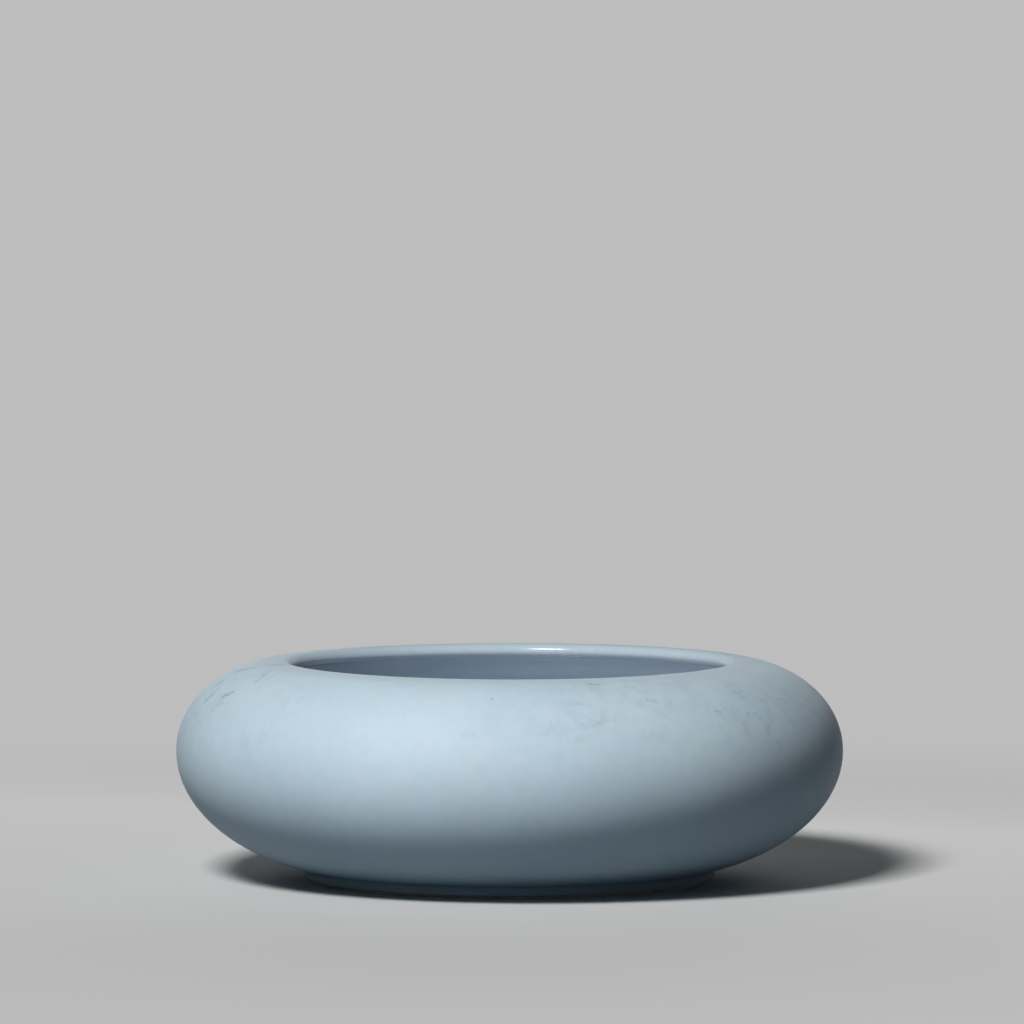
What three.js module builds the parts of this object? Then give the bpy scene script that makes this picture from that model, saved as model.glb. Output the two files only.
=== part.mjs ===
// A low brush washer of glazed porcelain, turned about +Z. Lengths are in millimetres.
// The clay is thrown as a shallow bowl whose wall swells out and comes back in to a rolled lip,
// and it stands on a low foot ring. Three coats of glaze lie on the clay: one outside, one inside
// and one under the base. Only the rounded edge that the ring stands on is left bare.
import * as THREE from "three";

// Driving dimensions of the finished vessel, over its glaze
const BELLY_RADIUS = 58.5; // the widest girth
const BELLY_HEIGHT = 22.5; // where the widest girth is, above the table
const BELLY_LEVEL = 0.7; // where the belly's curve would run level, if the foot didn't end it
const RIM_HEIGHT = 38.2; // the top of the lip
const MOUTH_RADIUS = 38.3; // the narrowest part of the mouth
const LIP_ROUND = 1.4; // radius of the lip's rolled top, which is twice as thick as this
const LIP_UNDER = 1; // how far the lip's rolled underside drops below the narrowest part
const WALL = 3.8; // the wall at the belly
const FLOOR = 4.6; // the floor, from the inside to the base
const FLOOR_RADIUS = 27; // where the level floor turns up into the wall

// Driving dimensions of the foot
const FOOT_RADIUS = 36; // outside of the foot ring, over its glaze
const FOOT_HEIGHT = 1.9; // where the ring's side meets the belly's curve
const FOOT_FILLET = 0.9; // how far the glaze fills that corner, each way
const RING_WIDTH = 3.6; // the clay ring at its foot, from side to side
const RING_TAPER = 0.6; // how far the ring's inner side leans in on its way up
const BARE_EDGE = 0.35; // radius of the ring's bare, rounded edges
const BASE_UNDERCUT = 1.2; // how much higher the base is inside the ring than the foot is outside
const BASE_FILLET = 1.4; // how far the base's corner is rounded along the base

// The coats of glaze, which ran down and gathered low before they set
const GLAZE_AT_FOOT = 0.6;
const GLAZE_AT_LIP = 0.3;
const GLAZE_ON_FLOOR = 0.6;
const GLAZE_ON_BASE = 0.35;

// How finely curves are drawn
const TURN_STEPS = 52; // round the vessel, a multiple of four so that it is full width on X and Y
const WALL_STEPS = 6; // along each quarter of the wall's curve
const LIP_STEPS = 3; // along each quarter of the lip
const FILLET_STEPS = 3;

// Places that follow from the driving dimensions
const crestRadius = MOUTH_RADIUS + LIP_ROUND;
const mouthHeight = RIM_HEIGHT - LIP_ROUND;
const baseHeight = FOOT_HEIGHT + BASE_UNDERCUT;
const floorHeight = baseHeight + FLOOR;
const ringOutside = FOOT_RADIUS - GLAZE_AT_FOOT;
const ringInside = ringOutside - RING_WIDTH;

const point = (radius, height) => new THREE.Vector2(radius, height);

// Points along an ellipse's arc, between two angles in quarter turns from outwards towards up.
function arc(centre, across, along, from, to, steps) {
  const quarter = Math.PI / 2;
  const curve = new THREE.EllipseCurve(
    centre.x,
    centre.y,
    across,
    along,
    from * quarter,
    to * quarter,
    to < from,
  );
  return curve.getPoints(steps);
}

// One line through several runs of points, where each run starts at the end of the one before it.
function joined(...runs) {
  return runs.flatMap((run, i) => (i === 0 ? run : run.slice(1)));
}

// The outward normal at each point of a line that has the vessel's clay on its left.
function normals(line) {
  return line.map((_, i) => {
    const before = line[Math.max(i - 1, 0)];
    const after = line[Math.min(i + 1, line.length - 1)];
    const along = after.clone().sub(before).normalize();
    return point(along.y, -along.x);
  });
}

// The line moved outwards by a distance for each point. A negative distance moves it into the clay.
function moved(line, distanceAt) {
  const outward = normals(line);
  return line.map((p, i) => p.clone().addScaledVector(outward[i], distanceAt(p, i)));
}

// The centre of the quarter ellipse that leaves the belly upright and meets the foot's corner.
function lowerBellyCentre() {
  const drop = (BELLY_HEIGHT - FOOT_HEIGHT) / (BELLY_HEIGHT - BELLY_LEVEL);
  const share = Math.sqrt(1 - drop * drop);
  return point((FOOT_RADIUS - share * BELLY_RADIUS) / (1 - share), BELLY_HEIGHT);
}

// The belly's curve below its widest girth, from the foot's fillet up.
function lowerBelly() {
  const centre = lowerBellyCentre();
  const across = BELLY_RADIUS - centre.x;
  const from = -Math.acos((FOOT_RADIUS + FOOT_FILLET - centre.x) / across) / (Math.PI / 2);
  return arc(centre, across, BELLY_HEIGHT - BELLY_LEVEL, from, 0, WALL_STEPS);
}

// The glazed outside, from the bare edge of the foot over the shoulder to the mouth.
function outerSkin() {
  const belly = lowerBelly();
  const fillet = new THREE.QuadraticBezierCurve(
    point(FOOT_RADIUS, FOOT_HEIGHT - FOOT_FILLET),
    point(FOOT_RADIUS, FOOT_HEIGHT),
    belly[0],
  ).getPoints(FILLET_STEPS);
  const shoulderCentre = point(crestRadius, BELLY_HEIGHT);
  const shoulderRise = RIM_HEIGHT - BELLY_HEIGHT;
  const lipCentre = point(crestRadius, mouthHeight);
  return joined(
    [point(FOOT_RADIUS, BARE_EDGE), fillet[0]],
    fillet,
    belly,
    arc(shoulderCentre, BELLY_RADIUS - crestRadius, shoulderRise, 0, 1, WALL_STEPS),
    arc(lipCentre, LIP_ROUND, LIP_ROUND, 1, 2, LIP_STEPS),
  );
}

// The glazed inside, from the mouth under the lip and down the hollow of the wall to the floor.
function innerSkin() {
  const lipCentre = point(crestRadius, mouthHeight);
  const hollowRadius = BELLY_RADIUS - WALL;
  const shoulderCentre = point(crestRadius, BELLY_HEIGHT);
  const shoulderRise = mouthHeight - LIP_UNDER - BELLY_HEIGHT;
  const floorCentre = point(FLOOR_RADIUS, BELLY_HEIGHT);
  const floorDrop = BELLY_HEIGHT - floorHeight;
  return joined(
    arc(lipCentre, LIP_ROUND, LIP_UNDER, 2, 3, LIP_STEPS),
    arc(shoulderCentre, hollowRadius - crestRadius, shoulderRise, 1, 0, WALL_STEPS),
    arc(floorCentre, hollowRadius - FLOOR_RADIUS, floorDrop, 0, -1, WALL_STEPS),
    [point(FLOOR_RADIUS, floorHeight), point(0, floorHeight)],
  );
}

// How thick the glaze is on a point of the skin, which is inside the vessel past the mouth.
function glazeThickness(p, isInside) {
  const lowest = isInside ? floorHeight : 0;
  const thickest = isInside ? GLAZE_ON_FLOOR : GLAZE_AT_FOOT;
  return THREE.MathUtils.mapLinear(p.y, mouthHeight, lowest, GLAZE_AT_LIP, thickest);
}

// The glazed skin is one line over the lip, and the clay lies under it by the glaze's thickness.
// The outer and inner coats meet at the mouth, so all three share the points where they touch.
const outside = outerSkin();
const inside = innerSkin();
const skin = joined(outside, inside);
const mouthIndex = outside.length - 1;
const clayLine = moved(skin, (p, i) => -glazeThickness(p, i > mouthIndex));
const outerClayLine = clayLine.slice(0, mouthIndex + 1);
const innerClayLine = clayLine.slice(mouthIndex);

// The ring is luted on at the level where the foot's fillet ends.
const seatIndex = 1 + FILLET_STEPS;
const ringSide = outerClayLine.slice(0, seatIndex + 1);
const wallSide = outerClayLine.slice(seatIndex);
const seat = wallSide[0];

// The clay inside the ring: its leaning side, a rounded corner and the base.
const ringInnerSide = [point(ringInside, BARE_EDGE), point(ringInside - RING_TAPER, seat.y)];
const baseClayHeight = baseHeight + GLAZE_ON_BASE;
const baseCorner = new THREE.QuadraticBezierCurve(
  ringInnerSide[1],
  point(ringInnerSide[1].x, baseClayHeight),
  point(ringInnerSide[1].x - BASE_FILLET, baseClayHeight),
).getPoints(FILLET_STEPS);
const baseLine = [...baseCorner, point(0, baseClayHeight)];

// The bowl's clay: the base, the seat of the ring, the wall, the lip, the hollow and the floor.
function bowlProfile() {
  return [...baseLine.toReversed(), ...wallSide, ...innerClayLine.slice(1)];
}

// The ring's clay: its outer side, its seat under the bowl, its inner side and its bare edge.
function ringProfile() {
  const outerEdge = arc(
    point(ringOutside - BARE_EDGE, BARE_EDGE), BARE_EDGE, BARE_EDGE, -1, 0, FILLET_STEPS,
  );
  const innerEdge = arc(
    point(ringInside + BARE_EDGE, BARE_EDGE), BARE_EDGE, BARE_EDGE, 2, 3, FILLET_STEPS,
  );
  return joined(outerEdge, ringSide, [seat, ...ringInnerSide.toReversed()], innerEdge, [
    innerEdge.at(-1),
    outerEdge[0],
  ]);
}

// A coat between the glazed skin and the clay under it, closed at both ends.
const coatProfile = (clay, glazed) => [...clay, ...glazed.toReversed(), clay[0]];

// A coat that reaches the axis, where its profile starts and ends.
const coatToAxisProfile = (clay, glazed) => [...clay.toReversed(), ...glazed];

// The coat under the base, from the ring's bare edge to the axis.
function baseCoatProfile() {
  const clay = [ringInnerSide[0], ...baseLine];
  const glazed = moved(clay.toReversed(), () => GLAZE_ON_BASE).toReversed();
  glazed[0].setY(BARE_EDGE);
  return coatToAxisProfile(clay, glazed);
}

// Each four-sided facet of a lathe is two triangles. This splits them on the other diagonal.
function onOtherDiagonal(lathe) {
  const corners = lathe.getIndex().array;
  for (let i = 0; i < corners.length; i += 6) {
    const [a, b, d, c] = corners.slice(i, i + 4);
    corners.set([a, b, c, a, c, d], i);
  }
  return lathe;
}

// A solid turned from its profile, with faces that point out whichever way the profile runs.
function turned(profile) {
  const line = THREE.ShapeUtils.area(profile) < 0 ? profile.toReversed() : profile;
  return new THREE.LatheGeometry(line, TURN_STEPS);
}

// A piece of clay.
function clay(name, profile, material) {
  const mesh = new THREE.Mesh(turned(profile), material);
  mesh.name = name;
  return mesh;
}

// A coat of glaze. Its profile passes the clay's the opposite way, which would turn the diagonals,
// so they are turned back and both have the same triangles where they touch.
function coat(name, profile, material) {
  const mesh = new THREE.Mesh(onOtherDiagonal(turned(profile)), material);
  mesh.name = name;
  return mesh;
}

const skyGlaze = new THREE.MeshStandardMaterial({ color: 0xb9cfdc, roughness: 0.22 });
const innerGlaze = new THREE.MeshStandardMaterial({ color: 0xb2c7d6, roughness: 0.18 });
const clearGlaze = new THREE.MeshStandardMaterial({ color: 0xe9eeec, roughness: 0.16 });
const porcelain = new THREE.MeshStandardMaterial({ color: 0xefe9df, roughness: 0.75 });
const bareRing = new THREE.MeshStandardMaterial({ color: 0xe6dccb, roughness: 0.85 });

// The profiles stand along Y, as a lathe's do, and the group stands them up along +Z.
const washer = new THREE.Group();
washer.rotation.x = Math.PI / 2;
washer.add(
  clay("bowl_clay", bowlProfile(), porcelain),
  clay("foot_ring", ringProfile(), bareRing),
  coat("outer_glaze", coatProfile(outerClayLine, outside), skyGlaze),
  coat("inner_glaze", coatToAxisProfile(innerClayLine, inside), innerGlaze),
  coat("base_glaze", baseCoatProfile(), clearGlaze),
);

export default washer;
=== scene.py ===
"""A low brush washer of pale sky-blue porcelain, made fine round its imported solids.

The vessel is turned about +Z and stands on its foot ring at the origin. Sizes are in millimetres and are
brought to metres as each mesh is made. Every piece is a closed solid of revolution: the thrown clay, the
foot ring with its bare edge, and the three coats of glaze, which touch the clay face to face.
"""

import logging
import math
from dataclasses import dataclass
from enum import Enum
from functools import cached_property, reduce
from typing import Sequence

import bpy
import numpy as np
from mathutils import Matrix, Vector


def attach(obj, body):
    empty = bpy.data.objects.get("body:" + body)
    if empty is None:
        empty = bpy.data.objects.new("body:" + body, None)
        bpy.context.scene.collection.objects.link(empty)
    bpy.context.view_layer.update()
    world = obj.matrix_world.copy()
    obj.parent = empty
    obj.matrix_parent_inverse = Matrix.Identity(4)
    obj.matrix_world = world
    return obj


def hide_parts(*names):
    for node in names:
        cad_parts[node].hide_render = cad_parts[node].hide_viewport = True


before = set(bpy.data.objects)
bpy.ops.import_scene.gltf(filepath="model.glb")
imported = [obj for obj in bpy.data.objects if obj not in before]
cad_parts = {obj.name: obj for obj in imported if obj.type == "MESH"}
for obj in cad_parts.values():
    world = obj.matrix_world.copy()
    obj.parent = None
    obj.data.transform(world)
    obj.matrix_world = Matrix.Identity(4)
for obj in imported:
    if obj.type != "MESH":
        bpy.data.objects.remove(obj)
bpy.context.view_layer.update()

LOG = logging.getLogger("washer")
MM = 0.001
TINY = 1e-12
ON_AXIS = 1e-9
Colour = tuple[float, float, float]
Socket = bpy.types.NodeSocket
Value = Socket | float | Sequence[float]
Point = Sequence[float]


class Slot(Enum):
    """The record's material slots, one for each kind of surface."""

    CLAY = "clay"
    BARE_FOOT = "bare_foot"
    OUTER = "outer_glaze"
    INNER = "inner_glaze"
    BASE = "base_glaze"


class Sum(Enum):
    """The sums on numbers and vectors that the materials use, by the names of Blender's nodes."""

    PLUS = "ADD"
    LESS = "SUBTRACT"
    TIMES = "MULTIPLY"
    OVER = "DIVIDE"
    LARGER = "MAXIMUM"
    SMALLER = "MINIMUM"
    DOT = "DOT_PRODUCT"
    APART = "DISTANCE"
    LENGTH = "LENGTH"
    DIRECTION = "NORMALIZE"


MEASURES = (Sum.DOT, Sum.APART, Sum.LENGTH)


def arc(
    centre: Point, across: float, along: float, start: float, stop: float, steps: int
) -> np.ndarray:
    """Points along an ellipse's arc: the centre plus across times cos t outwards and along times sin t up.

    Args:
        centre: Radius and height of the ellipse's centre, in mm.
        across: Half width of the ellipse, in mm.
        along: Half height of the ellipse, in mm.
        start: Where t begins, in quarter turns from outwards towards up.
        stop: Where t ends, in quarter turns.
        steps: How many steps the arc has.

    Returns:
        An array of radius and height, one row for each point.
    """
    t = np.linspace(start, stop, steps + 1) * math.pi / 2
    return np.column_stack((centre[0] + across * np.cos(t), centre[1] + along * np.sin(t)))


def bend(start: Point, corner: Point, stop: Point, steps: int) -> np.ndarray:
    """Points along the quadratic curve that leaves start towards corner and reaches stop from it.

    Each is start times the square of one less t, corner times twice t times one less t, and stop times the
    square of t, all added up, for t from 0 to 1.

    Args:
        start: Radius and height of the first point, in mm.
        corner: Radius and height of the corner that the curve cuts, in mm.
        stop: Radius and height of the last point, in mm.
        steps: How many steps the curve has.

    Returns:
        An array of radius and height, one row for each point.
    """
    t = np.linspace(0, 1, steps + 1)[:, None]
    first, middle, last = (np.array(point) for point in (start, corner, stop))
    return (1 - t) ** 2 * first + 2 * t * (1 - t) * middle + t**2 * last


def straight(start: Point, stop: Point, steps: int) -> np.ndarray:
    """Points along the straight line between two points, evenly spaced."""
    return np.linspace(start, stop, steps + 1)


def joined(*runs: np.ndarray) -> np.ndarray:
    """One line through several runs of points, each of which starts where the one before it ends."""
    return np.vstack([runs[0], *(run[1:] for run in runs[1:])])


def normals_of(line: np.ndarray) -> np.ndarray:
    """The outward normal at each point of a line that has the solid on its left.

    The direction at a point is the sum of the unit directions of the two steps that meet there, and the
    normal is that direction turned a quarter turn to the right.

    Args:
        line: Radius and height of each point.

    Returns:
        Unit normals, one row for each point.
    """
    steps = np.diff(line, axis=0)
    steps /= np.linalg.norm(steps, axis=1)[:, None]
    along = np.vstack([steps[:1], steps[:-1] + steps[1:], steps[-1:]])
    along /= np.linalg.norm(along, axis=1)[:, None]
    return np.column_stack((along[:, 1], -along[:, 0]))


@dataclass(frozen=True)
class Strip:
    """A smooth run of a profile. Where one strip ends and the next begins, the surface has a crisp edge.

    Attributes:
        line: Radius and height of each point, in mm, with the solid on the line's left.
        normals: The outward normal at each point.
    """

    line: np.ndarray
    normals: np.ndarray

    @classmethod
    def of(cls, line: np.ndarray) -> "Strip":
        """A strip whose normals are those of its own line."""
        return cls(line, normals_of(line))

    def reversed(self) -> "Strip":
        """The same surface seen from its other side, run the other way."""
        return Strip(self.line[::-1], -self.normals[::-1])

    def part(self, start: int, stop: int | None = None) -> "Strip":
        """The stretch from one of its points to before another, or to its end."""
        return Strip(self.line[start:stop], self.normals[start:stop])


@dataclass(frozen=True)
class HandMade:
    """How far the vessel is from a perfect turned shape, the same for every piece so that they still touch.

    Attributes:
        oval: Share by which the wall's radius swells and draws in twice a turn.
        lobed: Share by which it does so three times a turn.
        dip: How far the lip rises and dips, in mm, twice a turn.
        height: The height at which all three are full, in mm.
        turns: By how much the oval, the lobes and the dip are turned about the axis, in radians.
    """

    oval: float = 0.0009
    lobed: float = 0.0005
    dip: float = 0.09
    height: float = 38.2
    turns: tuple[float, float, float] = (0.7, -1.1, -0.4)

    def shaped(self, radius: np.ndarray, height: np.ndarray, angle: np.ndarray) -> np.ndarray:
        """Points in space, in mm, for cylindrical coordinates.

        The radius is multiplied by one plus the two swellings, each growing with the height above the foot,
        and the height gains the dip times the square of the share of the full height.

        Args:
            radius: Distance from the axis, in mm.
            height: Height above the table, in mm.
            angle: Angle about the axis, in radians.

        Returns:
            Coordinates, with x, y and z in the last axis.
        """
        share = np.clip(height / self.height, 0, 1)
        oval, lobed, dip = self.turns
        swelling = self.oval * np.cos(2 * angle + oval) + self.lobed * np.cos(3 * angle + lobed)
        r = radius * (1 + share * swelling)
        z = height + self.dip * share**2 * np.cos(2 * angle + dip)
        return np.stack((r * np.cos(angle), r * np.sin(angle), z + 0 * r), axis=-1)


@dataclass(frozen=True)
class Wheel:
    """Turns closed profiles into solids of revolution.

    Attributes:
        turns: How many facets go round the axis.
        hand: The small unevenness of the whole vessel.
    """

    turns: int = 288
    hand: HandMade = HandMade()

    def turned(self, name: str, strips: Sequence[Strip]) -> bpy.types.Object:
        """A solid turned from strips that follow one another round its section.

        Each point of the profile becomes a ring, or a single point on the axis. Neighbouring rings are joined
        by four-sided faces, and a ring and a point on the axis by triangles. Each face's corners carry the
        strip's own normals, turned to the corner's angle.

        Args:
            name: The piece's name.
            strips: The strips, in order, with the solid on their left. They close on themselves, or start and
                end on the axis.

        Returns:
            The new object, at the origin.
        """
        angle = np.arange(self.turns) * 2 * math.pi / self.turns
        line = np.vstack([strip.line[:-1] for strip in strips])
        if strips[-1].line[-1][0] < ON_AXIS:
            line = np.vstack([line, strips[-1].line[-1:]])
        on_axis = line[:, 0] < ON_AXIS
        count = np.where(on_axis, 1, self.turns)
        first = np.concatenate([[0], np.cumsum(count)[:-1]])
        rings = self.hand.shaped(line[:, :1], line[:, 1:], angle[None, :])
        points = np.vstack([ring[:size] for ring, size in zip(rings, count)]) * MM
        here = np.arange(self.turns)
        there = (here + 1) % self.turns
        faces, corner_normals, j = [], [], 0
        for strip in strips:
            for k in range(len(strip.line) - 1):
                after = (j + 1) % len(line)
                low, high = first[j], first[after]
                n0, n1 = strip.normals[k], strip.normals[k + 1]
                if on_axis[j]:
                    rows = (low + 0 * here, high + there, high + here)
                    corners = ((n0, here), (n1, there), (n1, here))
                elif on_axis[after]:
                    rows = (low + here, low + there, high + 0 * here)
                    corners = ((n0, here), (n0, there), (n1, here))
                else:
                    rows = (low + here, low + there, high + there, high + here)
                    corners = ((n0, here), (n0, there), (n1, there), (n1, here))
                faces.extend(np.column_stack(rows).tolist())
                spun = [self._spun(n, angle[at]) for n, at in corners]
                corner_normals.append(np.stack(spun, axis=1).reshape(-1, 3))
                j += 1
        mesh = bpy.data.meshes.new(name)
        mesh.from_pydata(points.tolist(), [], faces)
        mesh.shade_smooth()
        mesh.normals_split_custom_set(np.vstack(corner_normals).tolist())
        piece = bpy.data.objects.new(name, mesh)
        bpy.context.scene.collection.objects.link(piece)
        return piece

    @staticmethod
    def _spun(normal: np.ndarray, angle: np.ndarray) -> np.ndarray:
        """A profile's normal turned to each angle about the axis."""
        out, up = normal
        return np.column_stack((out * np.cos(angle), out * np.sin(angle), up + 0 * angle))


@dataclass(frozen=True)
class Section:
    """The washer's section, over its glaze. All sizes are in mm.

    Attributes:
        belly_radius: The widest girth.
        belly_height: Where the widest girth is.
        belly_level: Where the belly's curve would run level, if the foot didn't end it.
        rim_height: The top of the lip.
        mouth_radius: The narrowest part of the mouth.
        lip_round: Radius of the lip's rolled top.
        lip_under: How far the lip's rolled underside drops below the narrowest part of the mouth.
        wall: The wall at the belly.
        floor: The floor, from the inside to the base.
        floor_radius: Where the level floor turns up into the wall.
        foot_radius: Outside of the foot ring.
        foot_height: Where the ring's side meets the belly's curve.
        foot_fillet: How far the glaze fills that corner.
        ring_width: The clay ring at its foot, from side to side.
        ring_taper: How far the ring's inner side leans in on its way up.
        bare_edge: Radius of the ring's bare edges.
        base_undercut: How much higher the base is than the foot's height outside.
        base_fillet: How far the base's corner is rounded along the base.
        glaze_at_foot: The outer coat at the foot.
        glaze_at_lip: Both coats at the mouth.
        glaze_on_floor: The inner coat on the floor.
        glaze_on_base: The coat under the base.
        glaze_roll: Height of the rounded edge where a coat ends above the bare foot.
        ripple: Depth of the strongest of the turning rings left inside.
        ripples: Each train of these rings: its length over two pi, its start in radians, and its share of
            that depth.
        ripple_start: How far from the mouth the rings begin, along the section.
        ripple_rise: Over what length they get full.
        ripple_centre: How far from the axis they begin to fade towards the middle of the floor.
        wall_steps: Steps of each half of the outside.
        hollow_steps: Steps of each half of the hollow.
        lip_steps: Steps of each half of the lip.
        fillet_steps: Steps of each small rounding.
        floor_steps: Steps of the floor and of the base.
        foot_steps: Steps of the foot's upright side.
        seat_steps: Steps of the face where the ring meets the bowl.
        ring_steps: Steps of the ring's inner side.
        edge_steps: Steps of the flat edge that it stands on.
    """

    belly_radius: float = 58.5
    belly_height: float = 22.5
    belly_level: float = 0.7
    rim_height: float = 38.2
    mouth_radius: float = 38.3
    lip_round: float = 1.4
    lip_under: float = 1.0
    wall: float = 3.8
    floor: float = 4.6
    floor_radius: float = 27.0
    foot_radius: float = 36.0
    foot_height: float = 1.9
    foot_fillet: float = 0.9
    ring_width: float = 3.6
    ring_taper: float = 0.6
    bare_edge: float = 0.35
    base_undercut: float = 1.2
    base_fillet: float = 1.4
    glaze_at_foot: float = 0.6
    glaze_at_lip: float = 0.3
    glaze_on_floor: float = 0.6
    glaze_on_base: float = 0.35
    glaze_roll: float = 0.25
    ripple: float = 0.012
    ripples: tuple[tuple[float, float, float], ...] = ((0.47, 0, 1), (0.81, 1.3, 0.7), (0.35, 0.4, 0.6))
    ripple_start: float = 3.5
    ripple_rise: float = 6.0
    ripple_centre: float = 12.0
    wall_steps: int = 44
    hollow_steps: int = 56
    lip_steps: int = 16
    fillet_steps: int = 8
    floor_steps: int = 30
    foot_steps: int = 2
    seat_steps: int = 2
    ring_steps: int = 4
    edge_steps: int = 6

    @property
    def crest_radius(self) -> float:
        """Radius at which the lip is highest."""
        return self.mouth_radius + self.lip_round

    @property
    def mouth_height(self) -> float:
        """Height of the narrowest part of the mouth."""
        return self.rim_height - self.lip_round

    @property
    def base_height(self) -> float:
        """Height of the glazed base above the table."""
        return self.foot_height + self.base_undercut

    @property
    def floor_height(self) -> float:
        """Height of the glazed floor inside."""
        return self.base_height + self.floor

    @property
    def ring_outside(self) -> float:
        """Outer radius of the ring's clay."""
        return self.foot_radius - self.glaze_at_foot

    @property
    def ring_inside(self) -> float:
        """Inner radius of the ring's clay at its foot."""
        return self.ring_outside - self.ring_width

    @cached_property
    def outside(self) -> np.ndarray:
        """The glazed outside, from the straight side of the foot over the shoulder to the mouth.

        The belly below its widest girth is a quarter ellipse that is upright at the girth and passes through
        the foot's corner. The shoulder is a quarter ellipse from the girth to the crest of the lip.
        """
        depth = self.belly_height - self.belly_level
        drop = (self.belly_height - self.foot_height) / depth
        share = math.sqrt(1 - drop * drop)
        middle = (self.foot_radius - share * self.belly_radius) / (1 - share)
        across = self.belly_radius - middle
        start = -math.acos((self.foot_radius + self.foot_fillet - middle) / across) / (math.pi / 2)
        belly = arc((middle, self.belly_height), across, depth, start, 0, self.wall_steps)
        foot = (self.foot_radius, self.foot_height)
        below = (self.foot_radius, self.foot_height - self.foot_fillet)
        shoulder = (self.belly_radius - self.crest_radius, self.rim_height - self.belly_height)
        lip = (self.crest_radius, self.mouth_height)
        return joined(
            straight((self.foot_radius, self.bare_edge + self.glaze_roll), below, self.foot_steps),
            bend(below, foot, belly[0], self.fillet_steps),
            belly,
            arc((self.crest_radius, self.belly_height), *shoulder, 0, 1, self.wall_steps),
            arc(lip, self.lip_round, self.lip_round, 1, 2, self.lip_steps),
        )

    @cached_property
    def inside(self) -> np.ndarray:
        """The glazed inside, from the mouth under the lip and down the hollow of the wall to the floor.

        The hollow's upper and lower halves are quarter ellipses. Turning rings are added to it: the surface
        moves along its normal by the ripple's depth times the sum of three sines of the length run, each
        with its share, which fades out at the lip and in the middle of the floor.
        """
        hollow = self.belly_radius - self.wall
        upper = (hollow - self.crest_radius, self.mouth_height - self.lip_under - self.belly_height)
        lower = (hollow - self.floor_radius, self.belly_height - self.floor_height)
        lip = (self.crest_radius, self.mouth_height)
        line = joined(
            arc(lip, self.lip_round, self.lip_under, 2, 3, self.lip_steps),
            arc((self.crest_radius, self.belly_height), *upper, 1, 0, self.hollow_steps),
            arc((self.floor_radius, self.belly_height), *lower, 0, -1, self.hollow_steps),
            straight((self.floor_radius, self.floor_height), (0, self.floor_height), self.floor_steps),
        )
        run = np.concatenate([[0], np.cumsum(np.linalg.norm(np.diff(line, axis=0), axis=1))])
        waves = sum(share * np.sin(run / length + start) for length, start, share in self.ripples)
        below_lip = np.clip((run - self.ripple_start) / self.ripple_rise, 0, 1)
        off_centre = np.clip(line[:, 0] / self.ripple_centre, 0, 1)
        return line + normals_of(line) * (self.ripple * waves * below_lip * off_centre)[:, None]

    @cached_property
    def skin(self) -> Strip:
        """The whole glazed skin as one smooth line, so that the two coats have one normal at the mouth."""
        return Strip.of(joined(self.outside, self.inside))

    @cached_property
    def clay(self) -> Strip:
        """The clay's surface, which is the skin moved in along its normal by the thickness of the glaze.

        The thickness goes in proportion to the height, from that at the mouth to that at the foot or floor.
        """
        index = np.arange(len(self.skin.line))
        inner = index > self.mouth_index
        lowest = np.where(inner, self.floor_height, 0)
        thickest = np.where(inner, self.glaze_on_floor, self.glaze_at_foot)
        share = (self.mouth_height - self.skin.line[:, 1]) / (self.mouth_height - lowest)
        thickness = self.glaze_at_lip + (thickest - self.glaze_at_lip) * share
        return Strip.of(self.skin.line - self.skin.normals * thickness[:, None])

    @property
    def mouth_index(self) -> int:
        """Which point of the skin is the narrowest part of the mouth."""
        return len(self.outside) - 1

    @property
    def seat_index(self) -> int:
        """Which point of the skin is where the ring is luted on, at the end of the foot's fillet."""
        return self.foot_steps + self.fillet_steps

    @cached_property
    def base(self) -> np.ndarray:
        """The clay under the base, from the top of the ring's inner side round a bend to the axis."""
        top = self.clay.line[self.seat_index][1]
        side = self.ring_inside - self.ring_taper
        level = self.base_height + self.glaze_on_base
        turn = bend((side, top), (side, level), (side - self.base_fillet, level), self.fillet_steps)
        return joined(turn, straight(turn[-1], (0, level), self.floor_steps))


@dataclass(frozen=True)
class Pattern:
    """A noise in a material, and the part of its range over which it goes from nothing to full cover.

    Attributes:
        scale: One over the size of its features in metres.
        detail: How many finer layers it has.
        low: The noise at which its cover begins.
        high: The noise at which its cover is full.
        roughness: How strong each finer layer is beside the one before it.
    """

    scale: float
    detail: float
    low: float
    high: float
    roughness: float = 0.5


CLOUDS = Pattern(38, 2, 0.35, 0.7)
WARM_CLOUDS = Pattern(150, 3, 0.35, 0.65)
GRAIN = Pattern(420, 5, 0.3, 0.7, 0.7)
PATCHES = Pattern(60, 2, 0.34, 0.62)
SPOTS = Pattern(400, 5, 0.4, 0.74, 0.62)
GRIT = Pattern(1600, 3, 0.38, 0.6, 0.6)
GLOSS_CLOUDS = Pattern(120, 3, 0.3, 0.7)
STAINS = Pattern(140, 4, 0.4, 0.72)
IRON_SPECKS = Pattern(1500, 1, 0.72, 0.78)
DULL_CLOUDS = Pattern(300, 2, 0.3, 0.7)


@dataclass(frozen=True)
class Relief:
    """A noise that raises a surface a little.

    Attributes:
        scale: One over the size of its features in metres.
        detail: How many finer layers it has.
        depth: How high it raises the surface, in mm.
        strength: How much of the tilt is kept, from 0 to 1.
    """

    scale: float
    detail: float
    depth: float
    strength: float


PEEL = Relief(420, 2, 0.02, 0.6)
SWELLS = Relief(90, 1, 0.08, 0.5)
SAND = Relief(2600, 3, 0.03, 0.7)


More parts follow.
